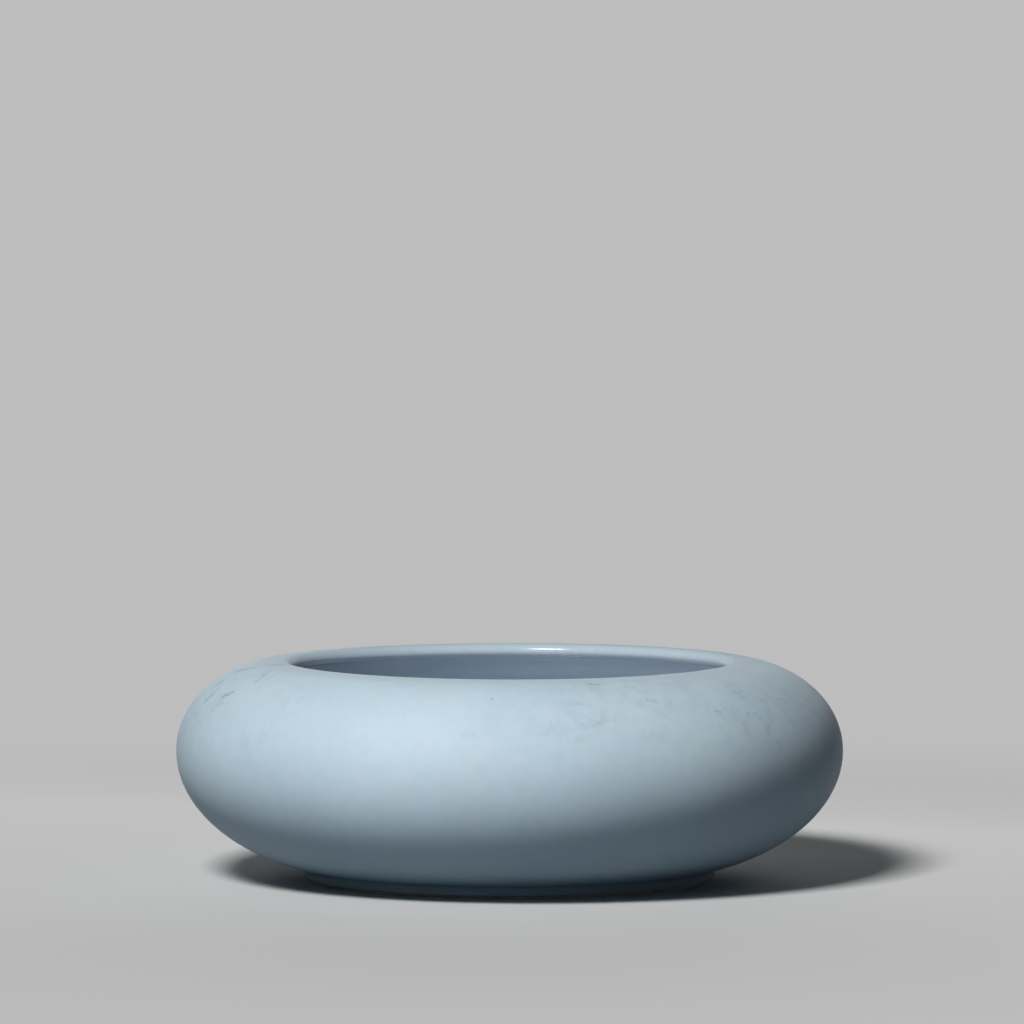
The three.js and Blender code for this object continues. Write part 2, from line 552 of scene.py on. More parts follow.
class NodeSheet:
    """A material's nodes, made and joined with short calls."""

    def __init__(self, name: str) -> None:
        """Starts a material with only a Principled shader and its output.

        Args:
            name: The material's name.
        """
        self.material = bpy.data.materials.new(name)
        self.material.use_nodes = True
        self.tree = self.material.node_tree
        self.shader = next(n for n in self.tree.nodes if n.type == "BSDF_PRINCIPLED")
        self.place = self.tree.nodes.new("ShaderNodeTexCoord").outputs["Object"]

    def put(self, socket: Socket, value: Value) -> None:
        """Joins an output to an input, or sets the input's own value.

        Args:
            socket: The input.
            value: Another node's output, or the value.
        """
        if isinstance(value, Socket):
            self.tree.links.new(value, socket)
        else:
            socket.default_value = value

    def shade(self, name: str, value: Value) -> None:
        """Puts a value on the shader's input of that name."""
        self.put(self.shader.inputs[name], value)

    def noise(
        self, scale: float, detail: float, roughness: float = 0.5, place: Socket | None = None
    ) -> bpy.types.Node:
        """A noise from 0 to 1.

        Args:
            scale: One over the size of its features in metres.
            detail: How many finer layers it has.
            roughness: How strong each finer layer is beside the one before it.
            place: Where it is read. None stands for the piece's own place.

        Returns:
            Its node, which gives it as a number and as a colour.
        """
        node = self.tree.nodes.new("ShaderNodeTexNoise")
        self.put(node.inputs["Vector"], self.place if place is None else place)
        self.put(node.inputs["Scale"], scale)
        self.put(node.inputs["Detail"], detail)
        self.put(node.inputs["Roughness"], roughness)
        return node

    def cover(
        self, pattern: Pattern, start: float = 0, stop: float = 1, place: Socket | None = None
    ) -> Socket:
        """A pattern's cover, or another value that goes with it.

        Args:
            pattern: The pattern.
            start: The value where it covers nothing.
            stop: The value where its cover is full.
            place: Where its noise is read. None stands for the piece's own place.

        Returns:
            The value.
        """
        noise = self.noise(pattern.scale, pattern.detail, pattern.roughness, place)
        return self.ramp(noise.outputs["Fac"], pattern.low, pattern.high, start, stop)

    def ramp(self, value: Value, low: float, high: float, start: float = 0, stop: float = 1) -> Socket:
        """A value carried smoothly from one range onto another, and held outside it.

        The result goes from start to stop with 3 t squared less 2 t cubed, where t is the share of the way
        from low to high.

        Args:
            value: The value.
            low: Where its range begins.
            high: Where its range ends.
            start: The result at low.
            stop: The result at high.

        Returns:
            The result.
        """
        node = self.tree.nodes.new("ShaderNodeMapRange")
        node.interpolation_type = "SMOOTHSTEP"
        self.put(node.inputs["Value"], value)
        limits = {"From Min": low, "From Max": high, "To Min": start, "To Max": stop}
        for name, number in limits.items():
            node.inputs[name].default_value = number
        return node.outputs["Result"]

    def maths(self, kind: Sum, a: Value, b: Value) -> Socket:
        """The result of a sum on two numbers.

        Args:
            kind: Which sum.
            a: The first number.
            b: The second number.

        Returns:
            The result.
        """
        node = self.tree.nodes.new("ShaderNodeMath")
        node.operation = kind.value
        self.put(node.inputs[0], a)
        self.put(node.inputs[1], b)
        return node.outputs["Value"]

    def times(self, *numbers: Value) -> Socket:
        """The product of two or more numbers."""
        return reduce(lambda a, b: self.maths(Sum.TIMES, a, b), numbers)

    def vectors(self, kind: Sum, a: Value, b: Value = (0, 0, 0)) -> Socket:
        """The result of a sum on one or two vectors.

        Args:
            kind: Which sum.
            a: The first vector.
            b: The second vector, where the sum has one.

        Returns:
            A number for the sums that measure, and else a vector.
        """
        node = self.tree.nodes.new("ShaderNodeVectorMath")
        node.operation = kind.value
        self.put(node.inputs[0], a)
        self.put(node.inputs[1], b)
        return node.outputs["Value" if kind in MEASURES else "Vector"]

    def scaled(self, vector: Value, factor: Value) -> Socket:
        """A vector made longer by a factor.

        Args:
            vector: The vector.
            factor: The factor.

        Returns:
            The longer vector.
        """
        node = self.tree.nodes.new("ShaderNodeVectorMath")
        node.operation = "SCALE"
        self.put(node.inputs[0], vector)
        self.put(node.inputs["Scale"], factor)
        return node.outputs["Vector"]

    def mixed(self, share: Value, a: Colour | Socket, b: Colour | Socket) -> Socket:
        """One colour turning into another.

        Args:
            share: How much of the second there is, from 0 to 1.
            a: The first colour, from 0 to 255 or as another node's output.
            b: The second colour, likewise.

        Returns:
            The mixed colour.
        """
        node = self.tree.nodes.new("ShaderNodeMix")
        node.data_type = "RGBA"
        self.put(node.inputs["Factor"], share)
        for name, colour in (("A", a), ("B", b)):
            socket = next(s for s in node.inputs if s.name == name and s.type == "RGBA")
            self.put(socket, colour if isinstance(colour, Socket) else (*linear(colour), 1))
        return next(s for s in node.outputs if s.type == "RGBA")

    def height(self) -> Socket:
        """The height above the table, in metres."""
        node = self.tree.nodes.new("ShaderNodeSeparateXYZ")
        self.put(node.inputs["Vector"], self.place)
        return node.outputs["Z"]

    def across(self) -> Socket:
        """The place without its height: how far it is from the axis, and which way."""
        return self.vectors(Sum.TIMES, self.place, (1, 1, 0))

    def near(self, start: Point, stop: Point, radius: float, place: Socket) -> Socket:
        """How near a place is to the short straight line between two points.

        The nearest point of the line is its start plus its length times t, where t is the share of the line
        that the place has gone along it, held between 0 and 1.

        Args:
            start: One end of the line, in mm.
            stop: Its other end, in mm.
            radius: Where the result has fallen to 0, in mm from the line.
            place: The place.

        Returns:
            1 on the line, falling smoothly to 0 at the radius.
        """
        a, b = (np.array(point) * MM for point in (start, stop))
        way = (b - a).tolist()
        square = max(float(np.dot(b - a, b - a)), TINY)
        run = self.vectors(Sum.DOT, self.vectors(Sum.LESS, place, a.tolist()), way)
        share = self.maths(Sum.LARGER, self.maths(Sum.OVER, run, square), 0.0)
        share = self.maths(Sum.SMALLER, share, 1.0)
        nearest = self.vectors(Sum.PLUS, self.scaled(way, share), a.tolist())
        return self.ramp(self.vectors(Sum.APART, place, nearest), 0, radius * MM, 1, 0)

    def warped(self, scale: float, reach: float) -> Socket:
        """The place moved about by a noise.

        Args:
            scale: One over the size of the noise's features in metres.
            reach: How far it moves the place at most, in mm.

        Returns:
            The moved place.
        """
        shift = self.vectors(Sum.LESS, self.noise(scale, 2).outputs["Color"], (0.5, 0.5, 0.5))
        return self.vectors(Sum.PLUS, self.place, self.scaled(shift, 2 * reach * MM))

    def tilted(self, relief: Relief, before: Socket | None = None) -> Socket:
        """The normal of a surface that a relief raises.

        Args:
            relief: The relief.
            before: A normal that is tilted already, or None.

        Returns:
            The tilted normal.
        """
        node = self.tree.nodes.new("ShaderNodeBump")
        self.put(node.inputs["Strength"], relief.strength)
        self.put(node.inputs["Distance"], relief.depth * MM)
        self.put(node.inputs["Height"], self.noise(relief.scale, relief.detail).outputs["Fac"])
        if before is not None:
            self.put(node.inputs["Normal"], before)
        return node.outputs["Normal"]


def linear(colour: Colour) -> Colour:
    """A colour as the light that the shader works with, by the screen's own curve.

    Args:
        colour: The colour as the screen shows it, from 0 to 255.

    Returns:
        Its red, green and blue light, from 0 to 1.
    """
    shares = np.array(colour) / 255
    curved = ((shares + 0.055) / 1.055) ** 2.4
    return tuple(np.where(shares <= 0.04045, shares / 12.92, curved).tolist())


@dataclass(frozen=True)
class Mark:
    """A small spot or streak in the glaze.

    Attributes:
        start: Where it starts on the surface, in mm.
        stop: Where it ends, in mm. A round spot ends where it starts.
        radius: How far it reaches to each side, in mm.
        colour: Its colour, from 0 to 255.
        strength: How much of the glaze it hides, from 0 to 1.
    """

    start: tuple[float, float, float]
    stop: tuple[float, float, float]
    radius: float
    colour: Colour
    strength: float


DARK = (50, 71, 83)
OLIVE = (72, 102, 112)
GREY = (101, 137, 150)
FAINT = (142, 167, 181)
YELLOWISH = (139, 163, 158)
MARKS = (
    Mark((-2.9, -49.7, 35.8), (-2.9, -49.7, 35.8), 0.45, DARK, 0.5),
    Mark((13.7, -42.4, 37.7), (14.7, -42.8, 37.6), 0.9, OLIVE, 0.4),
    Mark((19.2, -42.3, 37.2), (21.2, -42.0, 37.0), 0.8, GREY, 0.18),
    Mark((12.3, -50.0, 34.8), (13.7, -49.9, 34.6), 0.4, GREY, 0.36),
    Mark((8.2, -50.5, 35.0), (11.1, -50.0, 35.0), 1.6, GREY, 0.09),
    Mark((15.5, -51.1, 33.3), (16.0, -51.1, 33.2), 0.6, GREY, 0.1),
    Mark((18.4, -50.9, 32.7), (19.8, -50.6, 32.4), 0.7, GREY, 0.12),
    Mark((12.8, -53.8, 31.4), (16.2, -51.9, 32.4), 1.2, GREY, 0.12),
    Mark((23.7, -45.1, 35.1), (24.8, -45.0, 34.9), 0.9, GREY, 0.21),
    Mark((22.2, -46.9, 34.5), (24.2, -46.4, 34.2), 1.8, YELLOWISH, 0.12),
    Mark((28.3, -45.0, 33.5), (31.5, -42.9, 33.5), 2.0, YELLOWISH, 0.09),
    Mark((27.3, -43.4, 34.9), (27.3, -44.9, 34.0), 1.0, GREY, 0.16),
    Mark((35.3, -40.8, 32.8), (36.1, -40.4, 32.6), 0.55, OLIVE, 0.2),
    Mark((37.5, -31.6, 36.2), (39.7, -32.6, 34.9), 1.2, GREY, 0.18),
    Mark((41.0, -36.3, 32.0), (41.1, -36.4, 31.8), 0.8, GREY, 0.18),
    Mark((42.1, -35.2, 31.8), (42.8, -35.1, 31.3), 0.9, GREY, 0.24),
    Mark((43.2, -30.0, 34.0), (44.1, -29.6, 33.6), 0.8, GREY, 0.24),
    Mark((46.7, -25.3, 33.6), (47.6, -24.7, 33.2), 0.7, GREY, 0.24),
    Mark((40.1, -38.7, 30.7), (40.6, -39.7, 29.1), 1.2, GREY, 0.15),
    Mark((44.1, -34.8, 30.1), (44.5, -35.8, 28.6), 1.0, GREY, 0.17),
    Mark((45.9, -34.9, 27.1), (46.3, -34.6, 26.8), 0.8, GREY, 0.18),
    Mark((35.9, -43.3, 30.0), (35.9, -43.3, 30.0), 0.5, GREY, 0.14),
    Mark((11.4, -55.6, 29.2), (12.4, -55.1, 29.6), 1.2, YELLOWISH, 0.14),
    Mark((23.8, -51.4, 29.3), (25.8, -50.6, 29.0), 2.0, YELLOWISH, 0.12),
    Mark((-7.3, -55.8, 30.0), (-6.0, -55.7, 30.4), 1.6, FAINT, 0.14),
    Mark((3.5, -55.6, 30.8), (9.4, -54.5, 31.3), 2.2, FAINT, 0.1),
    Mark((-42.6, -19.1, 37.1), (-42.3, -18.7, 37.3), 1.0, OLIVE, 0.3),
    Mark((-43.8, -21.6, 36.3), (-43.0, -20.4, 36.8), 1.0, GREY, 0.28),
    Mark((-47.5, -5.2, 36.7), (-44.3, -8.4, 37.6), 1.0, OLIVE, 0.4),
    Mark((-51.0, -8.9, 34.6), (-50.5, -7.8, 35.1), 1.1, YELLOWISH, 0.7),
    Mark((-52.0, -12.8, 33.2), (-50.9, -12.4, 34.1), 1.0, GREY, 0.32),
    Mark((-49.6, -19.3, 33.5), (-48.2, -20.3, 34.3), 1.1, OLIVE, 0.42),
    Mark((-52.8, -13.5, 32.2), (-51.8, -14.0, 33.1), 1.1, GREY, 0.3),
    Mark((-51.2, -20.4, 31.6), (-49.8, -21.7, 32.5), 1.2, OLIVE, 0.14),
    Mark((-52.0, -17.9, 31.7), (-49.8, -20.3, 33.0), 2.6, YELLOWISH, 0.14),
    Mark((-41.3, -8.5, 38.1), (-40.0, -9.5, 38.2), 2.0, OLIVE, 0.25),
    Mark((-44.0, -17.5, 36.9), (-41.6, -16.3, 37.7), 1.8, FAINT, 0.2),
    Mark((-38.7, -34.8, 34.4), (-38.0, -35.1, 34.6), 1.0, GREY, 0.12),
    Mark((7.6, -51.6, 9.7), (7.6, -51.6, 9.7), 0.5, GREY, 0.18),
    Mark((14.8, -53.7, 13.8), (14.8, -53.7, 13.8), 0.35, GREY, 0.21),
    Mark((34.6, 17.6, 36.7), (34.6, 17.6, 36.7), 0.45, GREY, 0.3),
)


@dataclass(frozen=True)
class Drift:
    """A side of the vessel on which the mottle lies thicker.

    Attributes:
        way: The middle of that side, in degrees about the axis from +X towards +Y.
        full: How far to each side it is full, in degrees.
        reach: How far to each side it has faded out, in degrees.
        strength: How strong it is, where 1 is the finish's own fleck.
    """

    way: float
    full: float
    reach: float
    strength: float

    @property
    def direction(self) -> tuple[float, float, float]:
        """The direction from the axis to the middle of that side."""
        return (math.cos(math.radians(self.way)), math.sin(math.radians(self.way)), 0)


# By how much a mark's strength is multiplied where its grit is thinnest and where it is thickest.
LEAST_GRIT = 0.2
MOST_GRIT = 1.4
DRIFTS = (Drift(-40, 23, 60, 1.0), Drift(-157, 14, 37, 0.9), Drift(80, 30, 80, 0.6))


@dataclass(frozen=True)
class SkyGlaze:
    """A pale blue glaze that is greyer where it runs thin, darker at the lip's top with painted shade, and
    bluer where it lies thick; above the foot it darkens where it gathers, with painted shade.

    Attributes:
        name: The material's name.
        body: Its colour where it is of common thickness.
        thick: Its colour where it gathers.
        thin: Its greyer, darker colour over the lip: thin glaze, and painted shade on the lip's top.
        pooled_and_shaded: Its darker colour above the foot: glaze that has run down and gathers there, and
            painted shade in the corner over the foot ring.
        tinge: The warmer colour that it has a little of in clouds.
        mottle: The colour of its grain and of its cloudy spots.
        warmth: How strong the tinge is.
        grain: How strong the fine grain all over it is.
        fleck: How strong the spots are where they are densest.
        least_fleck: The share of that strength which they have elsewhere on the shoulder, and which is left
            between their patches.
        fleck_low: Height from which the spots come in, in mm.
        fleck_high: Height from which they are full, in mm.
        flow_radius: Radius at which their noise is read, in mm.
        flow_draw: How much the noise is drawn together down the wall, which makes the spots long.
        fray_scale: One over the size of the fraying of the marks' edges, in metres.
        fray_reach: How far their edges are frayed, in mm.
        roughness: How soft its gloss is.
        unevenness: By how much its roughness varies.
        ior: Its index of refraction.
        specular: The level of its mirror light, where 0.5 is that of its index of refraction.
        lip_gloss: How much clear gloss lies on the lip's inner side, from 0 to 1.
        lip_softness: The roughness of that clear gloss.
        gloss_radius: Out to where that clear gloss is full, in mm from the axis.
        gloss_end: Where it has ended, in mm from the axis.
        lip_height: Height above which it runs thin and the painted shade on the lip's top begins, in mm.
        lip_fade: Over what height it gets thin and shaded, in mm.
        thin_shade_cover: How much of the thin colour, with its painted shade, there is at the most.
        pool_shade_height: Height below which it gathers and is darkened with painted shade, in mm, or 0 for
            none.
        pool_shade_full: Height below which that darkening is full, in mm.
        pool_shade_cover: How much of the darker colour above the foot there is at the most.
        marks: The small faults in it.
    """

    name: str
    body: Colour = (192, 211, 222)
    thick: Colour = (186, 206, 218)
    thin: Colour = (181, 197, 206)
    pooled_and_shaded: Colour = (132, 162, 182)
    tinge: Colour = (202, 206, 202)
    mottle: Colour = (157, 180, 193)
    warmth: float = 0.1
    grain: float = 0.12
    fleck: float = 0.0
    least_fleck: float = 0.25
    fleck_low: float = 20.0
    fleck_high: float = 31.0
    flow_radius: float = 56.0
    flow_draw: float = 0.6
    fray_scale: float = 900.0
    fray_reach: float = 0.3
    roughness: float = 0.55
    unevenness: float = 0.03
    ior: float = 1.45
    specular: float = 0.12
    lip_gloss: float = 0.0
    lip_softness: float = 0.15
    gloss_radius: float = 38.6
    gloss_end: float = 39.2
    lip_height: float = 37.4
    lip_fade: float = 0.8
    thin_shade_cover: float = 0.7
    pool_shade_height: float = 0.0
    pool_shade_full: float = 2.0
    pool_shade_cover: float = 0.85
    marks: tuple[Mark, ...] = ()

    def material(self) -> bpy.types.Material:
        """The glaze as a material: its colour, its gloss and the shallow bumps of its skin.

        Returns:
            The new material.
        """
        sheet = NodeSheet(self.name)
        radius = sheet.vectors(Sum.LENGTH, sheet.across())
        sheet.shade("Base Color", self._coloured(sheet, radius))
        self._glossed(sheet, radius)
        sheet.shade("Normal", sheet.tilted(SWELLS, sheet.tilted(PEEL)))
        return sheet.material

    def _coloured(self, sheet: NodeSheet, radius: Socket) -> Socket:
        """The glaze's colour.

        Broad clouds shade the body into the thick colour, and smaller ones give it a little of the tinge. The
        grain and the mottle are laid over that, then the thin colour with painted shade on the lip's top, the
        darker colour of glaze gathered above the foot with painted shade, and the marks.

        Args:
            sheet: The material's nodes.
            radius: The distance from the axis.

        Returns:
            The colour.
        """
        colour = sheet.mixed(sheet.cover(CLOUDS), self.body, self.thick)
        colour = sheet.mixed(sheet.cover(WARM_CLOUDS, 0, self.warmth), colour, self.tinge)
        colour = sheet.mixed(sheet.cover(GRAIN, 0, self.grain), colour, self.mottle)
        if self.fleck:
            colour = self._flecked(sheet, colour, radius)
        # Painted shade: the lip's top is darkened, as well as greyed by thin glaze.
        height, lip = sheet.height(), self.lip_height * MM
        thin = sheet.ramp(height, lip, lip + self.lip_fade * MM, 0, self.thin_shade_cover)
        colour = sheet.mixed(thin, colour, self.thin)
        # Painted shade: the colour darkens above the foot, as gathered glaze and as shade in the corner over
        # the foot ring.
        if self.pool_shade_height:
            full, top = self.pool_shade_full * MM, self.pool_shade_height * MM
            pool_and_shade = sheet.ramp(height, full, top, self.pool_shade_cover, 0)
            colour = sheet.mixed(pool_and_shade, colour, self.pooled_and_shaded)
        return self._marked(sheet, colour) if self.marks else colour

    def _flecked(self, sheet: NodeSheet, colour: Socket, radius: Socket) -> Socket:
        """Lays the blue-grey mottle over a colour, on the shoulder and thickest where it drifts.

        Its noise is read on the flow of the glaze: the direction round the axis times the flow's radius, and
        the height less the distance from the axis, drawn together so that the spots are long down the wall.

        Args:
            sheet: The material's nodes.
            colour: The colour under it.
            radius: The distance from the axis.

        Returns:
            The mottled colour.
        """
        height = sheet.height()
        round_axis = sheet.vectors(Sum.DIRECTION, sheet.across())
        drop = sheet.times(sheet.maths(Sum.LESS, height, radius), self.flow_draw)
        girth = sheet.scaled(round_axis, self.flow_radius * MM)
        flow = sheet.vectors(Sum.PLUS, girth, sheet.scaled((0, 0, 1), drop))
        side: Value = self.least_fleck
        for drift in DRIFTS:
            turned = sheet.vectors(Sum.DOT, round_axis, drift.direction)
            edge, full = (math.cos(math.radians(angle)) for angle in (drift.reach, drift.full))
            share = sheet.ramp(turned, edge, full, 0, drift.strength)
            side = sheet.maths(Sum.LARGER, share, side)
        high = sheet.ramp(height, self.fleck_low * MM, self.fleck_high * MM)
        patches = sheet.cover(PATCHES, self.least_fleck)
        spots = sheet.cover(SPOTS, place=flow)
        return sheet.mixed(sheet.times(high, side, patches, spots, self.fleck), colour, self.mottle)

    def _marked(self, sheet: NodeSheet, colour: Socket) -> Socket:
        """Lays each mark over a colour, frayed at its edge by one noise and broken up by another.

        Args:
            sheet: The material's nodes.
            colour: The colour under the marks.

        Returns:
            The colour with the marks.
        """
        place = sheet.warped(self.fray_scale, self.fray_reach)
        grit = sheet.cover(GRIT, LEAST_GRIT, MOST_GRIT)
        for mark in self.marks:
            spread = sheet.near(mark.start, mark.stop, mark.radius, place)
            colour = sheet.mixed(sheet.times(spread, grit, mark.strength), colour, mark.colour)
        return colour

    def _glossed(self, sheet: NodeSheet, radius: Socket) -> None:
        """Gives the shader its uneven gloss, and the clear gloss on the lip's inner side.

        Args:
            sheet: The material's nodes.
            radius: The distance from the axis.
        """
        smoothest, roughest = self.roughness - self.unevenness, self.roughness + self.unevenness
        sheet.shade("Roughness", sheet.cover(GLOSS_CLOUDS, smoothest, roughest))
        sheet.shade("IOR", self.ior)
        sheet.shade("Specular IOR Level", self.specular)
        if self.lip_gloss:
            inside, outside = self.gloss_radius * MM, self.gloss_end * MM
            sheet.shade("Coat Weight", sheet.ramp(radius, inside, outside, self.lip_gloss, 0))
            sheet.shade("Coat Roughness", self.lip_softness)
            sheet.shade("Coat IOR", self.ior)


@dataclass(frozen=True)
class Biscuit:
    """Fired clay without glaze: fine, dull and faintly warm, with tiny iron specks.

    Attributes:
        name: The material's name.
        body: Its colour.
        stained: Its colour where it is a little soiled or burnt.
        smoothest: Its roughness where it is smoothest.
        roughest: Its roughness where it is dullest.
        iron: The colour of its iron specks.
        iron_cover: How much of that colour they have.
    """

    name: str
    body: Colour
    stained: Colour
    smoothest: float
    roughest: float
    iron: Colour = (120, 96, 74)
    iron_cover: float = 0.6

    def material(self) -> bpy.types.Material:
        """The biscuit as a material: clouds of stain, sparse specks and a fine grain.

        Returns:
            The new material.
        """
        sheet = NodeSheet(self.name)
        colour = sheet.mixed(sheet.cover(STAINS), self.body, self.stained)
        specks = sheet.cover(IRON_SPECKS, 0, self.iron_cover)
        sheet.shade("Base Color", sheet.mixed(specks, colour, self.iron))
        sheet.shade("Roughness", sheet.cover(DULL_CLOUDS, self.smoothest, self.roughest))
        sheet.shade("Normal", sheet.tilted(SAND))
        return sheet.material


def dress(piece: bpy.types.Object, finish: SkyGlaze | Biscuit, node: str) -> None:
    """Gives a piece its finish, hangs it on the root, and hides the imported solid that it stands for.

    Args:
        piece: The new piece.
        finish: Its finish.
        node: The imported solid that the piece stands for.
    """
    piece.data.materials.append(finish.material())
    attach(piece, "root")
    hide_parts(node)
    LOG.info("%s: %d faces, %s", piece.name, len(piece.data.polygons), finish.name)


@dataclass
class Body:
    """The clay of the vessel: the thrown bowl and the ring that it stands on.

    Attributes:
        section: The vessel's section.
        wheel: What turns it.
        clay: The finish of the bowl's clay.
        bare: The finish of the bare foot ring.
    """

    section: Section
    wheel: Wheel
    clay: Biscuit = Biscuit("fired_clay", (240, 235, 226), (232, 224, 210), 0.62, 0.76)
    bare: Biscuit = Biscuit("bare_foot", (226, 214, 196), (198, 178, 152), 0.72, 0.86)

    def build(self) -> None:
        """Makes the bowl's clay and the foot ring."""
        self._bowl()
        self._ring()

    def _bowl(self) -> None:
        """The bowl: its base, the seat of the ring, the wall, the lip, the hollow and the floor."""
        s = self.section
        base = Strip.of(s.base[::-1])
        seat = Strip.of(straight(s.base[0], s.clay.line[s.seat_index], s.seat_steps))
        wall = s.clay.part(s.seat_index)
        dress(self.wheel.turned("thrown_bowl", [base, seat, wall]), self.clay, "bowl_clay")

    def _ring(self) -> None:
        """The ring: its flat edge with a rounding each side, its outer side, its seat and its inner side."""
        s = self.section
        e = s.bare_edge
        rounded_out = arc((s.ring_outside - e, e), e, e, -1, 0, s.fillet_steps)
        rounded_in = arc((s.ring_inside + e, e), e, e, 2, 3, s.fillet_steps)
        under_glaze = s.clay.line[: s.seat_index + 1]
        side = joined(straight((s.ring_outside, e), under_glaze[0], s.foot_steps), under_glaze)
        strips = [
            Strip.of(rounded_out),
            Strip.of(side),
            Strip.of(straight(side[-1], s.base[0], s.seat_steps)),
            Strip.of(straight(s.base[0], rounded_in[0], s.ring_steps)),
            Strip.of(rounded_in),
            Strip.of(straight(rounded_in[-1], rounded_out[0], s.edge_steps)),
        ]
        dress(self.wheel.turned("foot_ring_bare", strips), self.bare, "foot_ring")


@dataclass
class Coats:
    """The glaze: one coat outside, one inside and one under the base.

    Attributes:
        section: The vessel's section.
        wheel: What turns it.
        outside: The finish of the outer coat, which has the marks, and painted shade on the lip's top and
            above the foot.
        inside: The finish of the inner coat, which is glossier.
        under: The finish of the thin coat under the base.
    """

    section: Section
    wheel: Wheel
    # The outer coat's darker colour above the foot is painted shade as well as gathered glaze.
    outside: SkyGlaze = SkyGlaze(
        "sky_glaze_outside", fleck=0.5, lip_gloss=0.6, pool_shade_height=6.0, marks=MARKS
    )
    inside: SkyGlaze = SkyGlaze(
        "sky_glaze_inside",
        body=(192, 202, 213),
        thick=(180, 194, 209),
        roughness=0.12,
        specular=0.5,
    )
    under: SkyGlaze = SkyGlaze(
        "clear_glaze_base",
        body=(232, 236, 234),
        thick=(222, 230, 230),
        thin=(236, 238, 235),
        roughness=0.2,
        specular=0.5,
    )

    def build(self) -> None:
        """Makes the three coats."""
        self._outer()
        self._inner()
        self._base()

    def _outer(self) -> None:
        """The outer coat, which ends below in a small rounded roll above the foot's bare edge."""
        s = self.section
        low = (s.ring_outside, s.bare_edge)
        centre = (s.ring_outside, s.bare_edge + s.glaze_roll)
        roll = arc(centre, s.glaze_at_foot, s.glaze_roll, -1, 0, s.fillet_steps)
        skin = s.skin.part(0, s.mouth_index + 1)
        back = s.clay.part(0, s.mouth_index + 1).reversed()
        strips = [
            Strip.of(roll),
            skin,
            Strip.of(straight(skin.line[-1], back.line[0], 1)),
            back,
            Strip.of(straight(back.line[-1], low, 1)),
        ]
        piece = self.wheel.turned("glaze_outside", strips)
        dress(piece, self.outside, "outer_glaze")

    def _inner(self) -> None:
        """The inner coat, from the mouth down to the middle of the floor."""
        s = self.section
        skin = s.skin.part(s.mouth_index)
        back = s.clay.part(s.mouth_index).reversed()
        start = Strip.of(straight(back.line[-1], skin.line[0], 1))
        piece = self.wheel.turned("glaze_inside", [back, start, skin])
        dress(piece, self.inside, "inner_glaze")

    def _base(self) -> None:
        """The thin coat on the ring's inner side and under the base."""
        s = self.section
        clay = joined(straight((s.ring_inside, s.bare_edge), s.base[0], s.ring_steps), s.base)
        skin_line = clay - normals_of(clay) * s.glaze_on_base
        skin_line[-1, 0] = 0
        skin_line[0, 1] = s.bare_edge + s.glaze_roll
        centre = (s.ring_inside, s.bare_edge + s.glaze_roll)
        roll = arc(centre, s.ring_inside - skin_line[0, 0], s.glaze_roll, 2, 3, s.fillet_steps)
        strips = [Strip.of(skin_line[::-1]), Strip.of(roll), Strip.of(clay)]
        piece = self.wheel.turned("glaze_under_base", strips)
        dress(piece, self.under, "base_glaze")


@dataclass(frozen=True)
class Softbox:
    """A soft lamp that faces the vessel.

    Attributes:
        name: Its name.
        azimuth: Where it stands round the vessel, in degrees from the camera's side towards +X.
        elevation: Height of its middle as seen from the vessel, in degrees.
        distance: How far it stands, in metres.
        width: Its width, in metres.
        height: Its height, in metres.
        power: Its power, in watts.
        tint: The colour of its light.
        aim: Height of the point that it faces on the vessel's axis, in metres.
        mirrored: Whether glossy surfaces mirror it.
    """

    name: str
    azimuth: float
    elevation: float
    distance: float
    width: float
    height: float
    power: float
    tint: Colour = (1.0, 1.0, 1.0)
    aim: float = 0.02
    mirrored: bool = True

    @property
    def way(self) -> Vector:
        """The direction from the point that it faces to the lamp."""
        a, e = math.radians(self.azimuth), math.radians(self.elevation)
        return Vector((math.sin(a) * math.cos(e), -math.cos(a) * math.cos(e), math.sin(e)))

    @property
    def place(self) -> Vector:
        """Where its middle is, in metres."""
        return Vector((0, 0, self.aim)) + self.way * self.distance

    def build(self) -> None:
        """Makes the lamp and turns it to the vessel."""
        data = bpy.data.lights.new(self.name, "AREA")
        data.shape, data.size, data.size_y = "RECTANGLE", self.width, self.height
        data.energy, data.color = self.power, self.tint
        lamp = bpy.data.objects.new(self.name, data)
        lamp.location = self.place
        lamp.rotation_euler = (-self.way).to_track_quat("-Z", "Y").to_euler()
        lamp.visible_camera = False
        lamp.visible_glossy = self.mirrored
        bpy.context.scene.collection.objects.link(lamp)


def eye_rays(tree: bpy.types.NodeTree) -> Socket:
    """Tells the rays that the eye follows from the rest.

    Args:
        tree: The nodes of a material or of the world.

    Returns:
        1 for rays that the eye follows, straight, through gloss or through glass, and 0 for the rest.
    """
    light = tree.nodes.new("ShaderNodeLightPath")
    total = light.outputs["Is Camera Ray"]
    for kind in ("Is Glossy Ray", "Is Transmission Ray"):
        node = tree.nodes.new("ShaderNodeMath")
        node.operation = Sum.LARGER.value
        tree.links.new(total, node.inputs[0])
        tree.links.new(light.outputs[kind], node.inputs[1])
        total = node.outputs["Value"]
    return total


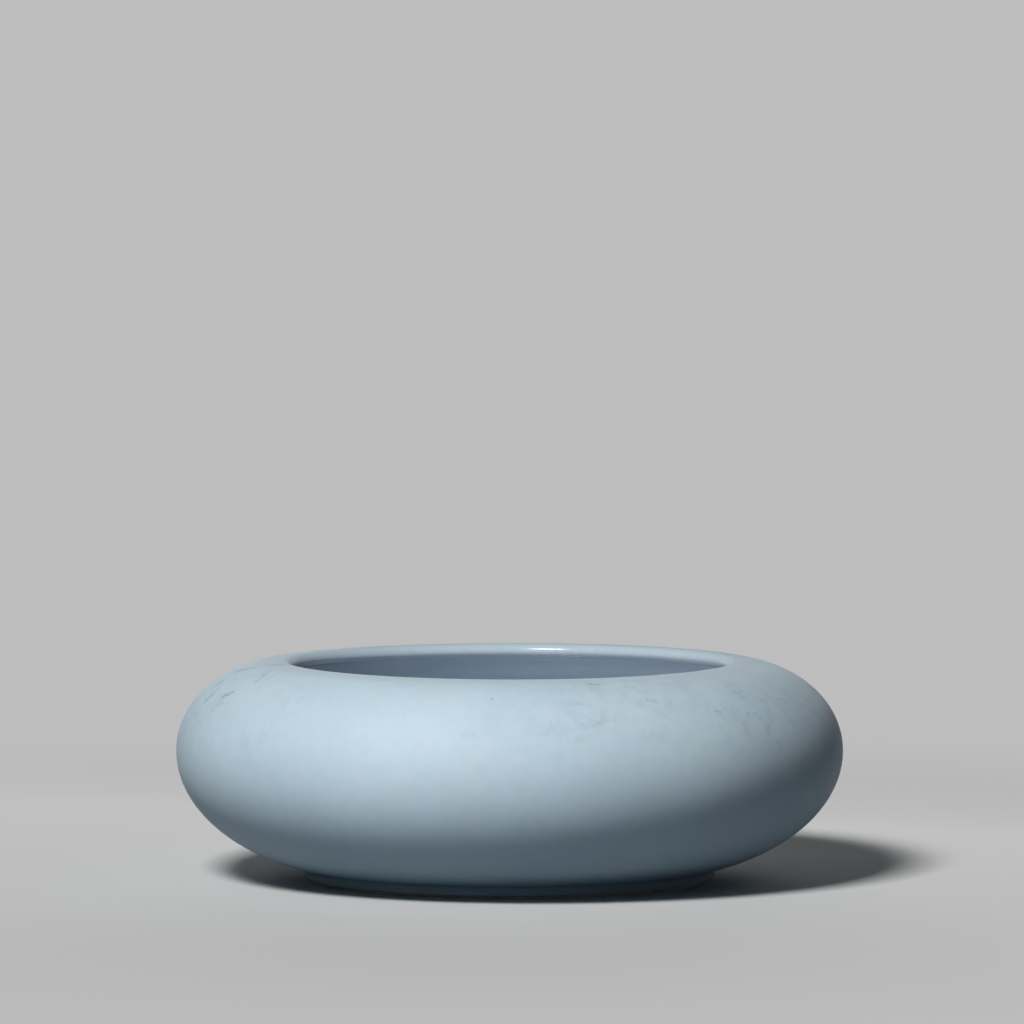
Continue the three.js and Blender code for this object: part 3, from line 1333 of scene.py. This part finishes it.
@dataclass(frozen=True)
class PaleFloor:
    """A floor that is pale to the eye, and to all other rays a dark table with a little polish.

    Attributes:
        name: The material's name.
        paleness: How pale it is under the vessel, where 1 is white.
        palest: How pale it is at the most.
        cast: The colour of its paleness, as shares.
        dark: Its colour to the other rays, from 0 to 255.
        polish: How rough its polish is.
        ior: Its index of refraction.
        mirror: The level of its mirror light to the other rays.
        mirror_tint: The colour of that mirror light, as shares.
        lit_reach: Out to where the lamps light it, in metres.
        glow_reach: Where it has become as pale as the background, in metres.
    """

    name: str = "pale_floor"
    paleness: float = 0.72
    palest: float = 0.98
    cast: Colour = (1, 1, 0.995)
    dark: Colour = (44, 53, 60)
    polish: float = 0.15
    ior: float = 2.3
    mirror: float = 0.5
    mirror_tint: Colour = (0.8, 0.92, 1.0)
    lit_reach: float = 0.08
    glow_reach: float = 0.3

    def material(self, key: Softbox, backdrop: float) -> bpy.types.Material:
        """The floor as a material.

        Near the vessel its paleness evens out the key lamp's fall-off and keeps the shadow, and far off it
        glows as evenly as the background. Its dark side for other rays is a little polished, so that the
        lower belly gets some of the key lamp's light back from it.

        Args:
            key: The key lamp.
            backdrop: How pale the background is, where 1 is white.

        Returns:
            The new material.
        """
        sheet = NodeSheet(self.name)
        seen = eye_rays(sheet.tree)
        shown = sheet.scaled(self.cast, self._evened(sheet, key))
        sheet.shade("Base Color", sheet.mixed(seen, self.dark, shown))
        sheet.shade("Roughness", self.polish)
        sheet.shade("IOR", self.ior)
        sheet.shade("Specular Tint", (*self.mirror_tint, 1))
        sheet.shade("Specular IOR Level", sheet.ramp(seen, 0, 1, self.mirror, 0))
        out = sheet.vectors(Sum.LENGTH, sheet.place)
        far = sheet.times(sheet.ramp(out, self.lit_reach, self.glow_reach), seen)
        glow = sheet.tree.nodes.new("ShaderNodeEmission")
        sheet.put(glow.inputs["Color"], (backdrop, backdrop, backdrop, 1))
        both = sheet.tree.nodes.new("ShaderNodeMixShader")
        sheet.put(both.inputs[0], far)
        sheet.put(both.inputs[1], sheet.shader.outputs["BSDF"])
        sheet.put(both.inputs[2], glow.outputs["Emission"])
        output = next(n for n in sheet.tree.nodes if n.type == "OUTPUT_MATERIAL")
        sheet.put(output.inputs["Surface"], both.outputs["Shader"])
        return sheet.material

    def _evened(self, sheet: NodeSheet, key: Softbox) -> Socket:
        """How pale the floor is, so that it looks evenly lit under a lamp that is close by.

        The light that a small flat lamp throws on the floor goes with the distance along its axis, over the
        square of the square of the distance. The paleness goes the other way, and is held below white.

        Args:
            sheet: The floor's nodes.
            key: The key lamp.

        Returns:
            The paleness, from 0 to 1.
        """
        away = sheet.vectors(Sum.LESS, tuple(key.place), sheet.place)
        square = sheet.vectors(Sum.DOT, away, away)
        along = sheet.vectors(Sum.DOT, away, tuple(key.way))
        here = key.place.dot(key.way) / key.place.length_squared**2
        paleness = sheet.times(square, square, self.paleness * here)
        return sheet.maths(Sum.SMALLER, sheet.maths(Sum.OVER, paleness, along), self.palest)


@dataclass
class Studio:
    """A plain pale floor, soft lamps and a camera that stands where the photographer's did.

    Attributes:
        distance: From the vessel's foot to the camera, in metres.
        elevation: Height of the camera as seen from the foot, in degrees.
        pitch: How far the camera looks down, in degrees.
        focal_pixels: Focal length, counted in pixels of a picture of the width that follows.
        picture_width: Width of that picture, in pixels.
        sensor: Width of the camera's sensor, in mm.
        aside: How far the camera stands to +X of the vessel's axis, in metres.
        lamps: The soft lamps, the key lamp first.
        floor: The floor's finish.
        floor_reach: Half the floor's side, in metres.
        world_tint: The colour of the even light from all round, as shares.
        world_level: Its strength.
        backdrop: How pale the far floor and the background are, where 1 is white.
    """

    distance: float = 1.5
    elevation: float = 6.021
    pitch: float = 3.568
    focal_pixels: float = 8523.7
    picture_width: int = 1024
    sensor: float = 36.0
    aside: float = 0.00042
    lamps: tuple[Softbox, ...] = (
        Softbox("key_softbox", -23.7, 41.2, 0.75, 0.20, 0.14, 5.45),
        Softbox("back_softbox", 180, 12, 1.8, 1.4, 0.5, 10, mirrored=False),
    )
    floor: PaleFloor = PaleFloor()
    floor_reach: float = 60.0
    world_tint: Colour = (0.8, 0.9, 1.0)
    world_level: float = 0.012
    backdrop: float = 0.51

    def build(self) -> None:
        """Makes the floor, the lamps, the world's light and the camera."""
        self._floor()
        for lamp in self.lamps:
            lamp.build()
        self._world()
        self._camera()
        bpy.context.scene.view_settings.view_transform = "Standard"

    def _floor(self) -> None:
        """A wide level floor with its top at the vessel's foot."""
        r = self.floor_reach
        mesh = bpy.data.meshes.new("floor")
        mesh.from_pydata([(-r, -r, 0), (r, -r, 0), (r, r, 0), (-r, r, 0)], [], [(0, 1, 2, 3)])
        mesh.materials.append(self.floor.material(self.lamps[0], self.backdrop))
        floor = bpy.data.objects.new("floor", mesh)
        bpy.context.scene.collection.objects.link(floor)

    def _world(self) -> None:
        """An even, faintly blue light from all round, seen as the background's own grey."""
        world = bpy.data.worlds.new("studio")
        world.use_nodes = True
        tree = world.node_tree
        lit = tree.nodes["Background"]
        lit.inputs["Color"].default_value = (*self.world_tint, 1)
        lit.inputs["Strength"].default_value = self.world_level
        shown = tree.nodes.new("ShaderNodeBackground")
        shown.inputs["Color"].default_value = (1, 1, 1, 1)
        shown.inputs["Strength"].default_value = self.backdrop
        both = tree.nodes.new("ShaderNodeMixShader")
        tree.links.new(eye_rays(tree), both.inputs[0])
        tree.links.new(lit.outputs["Background"], both.inputs[1])
        tree.links.new(shown.outputs["Background"], both.inputs[2])
        tree.links.new(both.outputs["Shader"], tree.nodes["World Output"].inputs["Surface"])
        bpy.context.scene.world = world

    def _camera(self) -> None:
        """The camera, on the front side, a little above the lip and looking slightly down."""
        data = bpy.data.cameras.new("camera")
        data.sensor_width = self.sensor
        data.lens = self.focal_pixels * self.sensor / self.picture_width
        camera = bpy.data.objects.new("camera", data)
        up = math.radians(self.elevation)
        camera.location = (self.aside, -self.distance * math.cos(up), self.distance * math.sin(up))
        camera.rotation_euler = (math.radians(90 - self.pitch), 0, 0)
        bpy.context.scene.collection.objects.link(camera)
        bpy.context.scene.camera = camera


def main() -> None:
    """Builds the vessel piece by piece, then the studio round it."""
    logging.basicConfig(level=logging.INFO, format="%(name)s: %(message)s")
    section = Section()
    wheel = Wheel(hand=HandMade(height=section.rim_height))
    Body(section, wheel).build()
    Coats(section, wheel).build()
    Studio().build()


if __name__ == "__main__":
    main()
